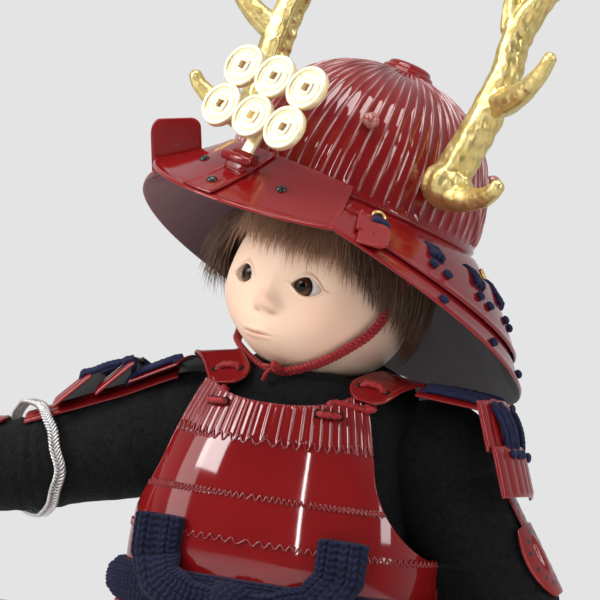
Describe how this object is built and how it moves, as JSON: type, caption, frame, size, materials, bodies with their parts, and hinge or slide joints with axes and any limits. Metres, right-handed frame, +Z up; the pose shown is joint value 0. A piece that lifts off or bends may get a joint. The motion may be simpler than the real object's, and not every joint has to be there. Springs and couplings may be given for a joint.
{
  "type": "samurai doll",
  "caption": "Standing child doll in red lacquered samurai armour with a ribbed, antlered helmet, coin crest, laced plates and knitted navy sash; rests on its flat boot soles.",
  "frame": {"origin": "centre of the bounding box, on the plane of the boot soles", "axes": "+Z up, the doll faces -Y, its left hand is on the +X side"},
  "size_m": [0.307, 0.18, 0.4643],
  "materials": {
    "red_lacquer": "glossy red lacquer",
    "gilt_metal": "polished gilt",
    "skin": "matte painted skin",
    "planted_hair": "planted fibre hair",
    "glass_eye": "glossy eye",
    "red_cord": "plaited cord",
    "black_cloth": "felted cloth",
    "navy_knit": "knitted tube",
    "silver_metal": "plaited and drawn wire",
    "peg_wood": "bare turned wood",
    "black_fur": "short black pile"
  },
  "bodies": {
    "torso": {"cuirass_front": "red_lacquer", "cuirass_back": "red_lacquer", "shoulder_strap_left": "red_lacquer", "shoulder_strap_right": "red_lacquer", "arm_plate_left": "red_lacquer", "arm_plate_right": "red_lacquer", "elbow_plate_left": "red_lacquer", "elbow_plate_right": "red_lacquer", "shoulder_pad_left": "red_lacquer", "shoulder_pad_right": "red_lacquer", "shin_guard_left": "red_lacquer", "shin_guard_right": "red_lacquer", "strap_cord_left": "red_cord", "strap_cord_right": "red_cord", "trunk_body": "black_cloth", "upper_sleeve_left": "black_cloth", "upper_sleeve_right": "black_cloth", "fore_sleeve_left": "black_cloth", "fore_sleeve_right": "black_cloth", "trouser_leg_left": "black_cloth", "trouser_leg_right": "black_cloth", "sash_band": "navy_knit", "sash_bow": "navy_knit", "arm_wire_left": "silver_metal", "arm_wire_right": "silver_metal", "arm_band_right": "silver_metal", "neck_peg": "peg_wood", "boot_left": "black_fur", "boot_right": "black_fur"},
    "head": {"head": "skin", "hair": "planted_hair", "eye_left": "glass_eye", "eye_right": "glass_eye", "chin_cord": "red_cord", "helmet_bowl": "red_lacquer", "crown_cap": "red_lacquer", "helmet_visor": "red_lacquer", "crest_holder": "red_lacquer", "neck_guard_upper": "red_lacquer", "neck_guard_middle": "red_lacquer", "neck_guard_lower": "red_lacquer", "turnback_left": "red_lacquer", "turnback_right": "red_lacquer", "antler_peg_left": "peg_wood", "antler_peg_right": "peg_wood"},
    "antler_left": {"antler_left": "gilt_metal"},
    "antler_right": {"antler_right": "gilt_metal"},
    "coin_crest": {"coin_crest": "gilt_metal"},
    "guard_left_upper": {"guard_left_upper": "red_lacquer"},
    "guard_left_lower": {"guard_left_lower": "red_lacquer"},
    "guard_right_upper": {"guard_right_upper": "red_lacquer"},
    "guard_right_lower": {"guard_right_lower": "red_lacquer"},
    "skirt_front_left": {"skirt_front_left": "red_lacquer"},
    "skirt_side_left": {"skirt_side_left": "red_lacquer"},
    "skirt_back_left": {"skirt_back_left": "red_lacquer"},
    "skirt_back_right": {"skirt_back_right": "red_lacquer"},
    "skirt_side_right": {"skirt_side_right": "red_lacquer"},
    "skirt_front_right": {"skirt_front_right": "red_lacquer"},
    "hand_left": {"hand_left": "skin"},
    "hand_right": {"hand_right": "skin"}
  },
  "joints": [
    {"name": "head_turn", "type": "hinge", "parent": "torso", "child": "head", "pos_m": [0.03563, -0.00902, 0.287], "axis": [0.0937, -0.0514, 0.9943], "range_deg": [-3, 35]},
    {"name": "antler_left_pull", "type": "slide", "parent": "head", "child": "antler_left", "axis": [0.7961, -0.573, -0.1945], "range_m": [0, 0.012]},
    {"name": "antler_right_pull", "type": "slide", "parent": "head", "child": "antler_right", "axis": [-0.9601, 0.0872, 0.2656], "range_m": [0, 0.012]},
    {"name": "crest_pull", "type": "slide", "parent": "head", "child": "coin_crest", "axis": [0.3162, 0.1939, 0.9287], "range_m": [0, 0.008]},
    {"name": "guard_left_upper_swing", "type": "hinge", "parent": "torso", "child": "guard_left_upper", "pos_m": [0.11243, -0.00932, 0.249], "axis": [0, -1, 0], "range_deg": [0, 50]},
    {"name": "guard_left_lower_swing", "type": "hinge", "parent": "guard_left_upper", "child": "guard_left_lower", "pos_m": [0.12075, -0.00932, 0.23256], "axis": [0, -1, 0], "range_deg": [0, 50]},
    {"name": "guard_right_upper_swing", "type": "hinge", "parent": "torso", "child": "guard_right_upper", "pos_m": [-0.0409, -0.00775, 0.24711], "axis": [-0.2079, 0.9781, 0], "range_deg": [0, 45]},
    {"name": "guard_right_lower_swing", "type": "hinge", "parent": "guard_right_upper", "child": "guard_right_lower", "pos_m": [-0.05706, -0.01118, 0.23979], "axis": [-0.2079, 0.9781, 0], "range_deg": [0, 45]},
    {"name": "skirt_front_left_swing", "type": "hinge", "parent": "torso", "child": "skirt_front_left", "pos_m": [0.07011, -0.05245, 0.1526], "axis": [-0.866, -0.5, 0], "range_deg": [0, 45]},
    {"name": "skirt_side_left_swing", "type": "hinge", "parent": "torso", "child": "skirt_side_left", "pos_m": [0.09863, -0.00632, 0.1526], "axis": [0, -1, 0], "range_deg": [0, 20]},
    {"name": "skirt_back_left_swing", "type": "hinge", "parent": "torso", "child": "skirt_back_left", "pos_m": [0.07011, 0.0398, 0.1526], "axis": [0.866, -0.5, 0], "range_deg": [0, 45]},
    {"name": "skirt_back_right_swing", "type": "hinge", "parent": "torso", "child": "skirt_back_right", "pos_m": [-0.00285, 0.0398, 0.1526], "axis": [0.866, 0.5, 0], "range_deg": [0, 45]},
    {"name": "skirt_side_right_swing", "type": "hinge", "parent": "torso", "child": "skirt_side_right", "pos_m": [-0.03137, -0.00632, 0.1526], "axis": [0, 1, 0], "range_deg": [0, 45]},
    {"name": "skirt_front_right_swing", "type": "hinge", "parent": "torso", "child": "skirt_front_right", "pos_m": [-0.00285, -0.05245, 0.1526], "axis": [-0.866, 0.5, 0], "range_deg": [0, 45]},
    {"name": "hand_left_twist", "type": "hinge", "parent": "torso", "child": "hand_left", "pos_m": [0.13689, -0.01432, 0.12723], "axis": [0.289, -0.5436, -0.788], "range_deg": [-40, 40]},
    {"name": "hand_right_twist", "type": "hinge", "parent": "torso", "child": "hand_right", "pos_m": [-0.12585, -0.02954, 0.18677], "axis": [-0.9327, -0.2674, -0.2419], "range_deg": [-40, 40]}
  ]
}
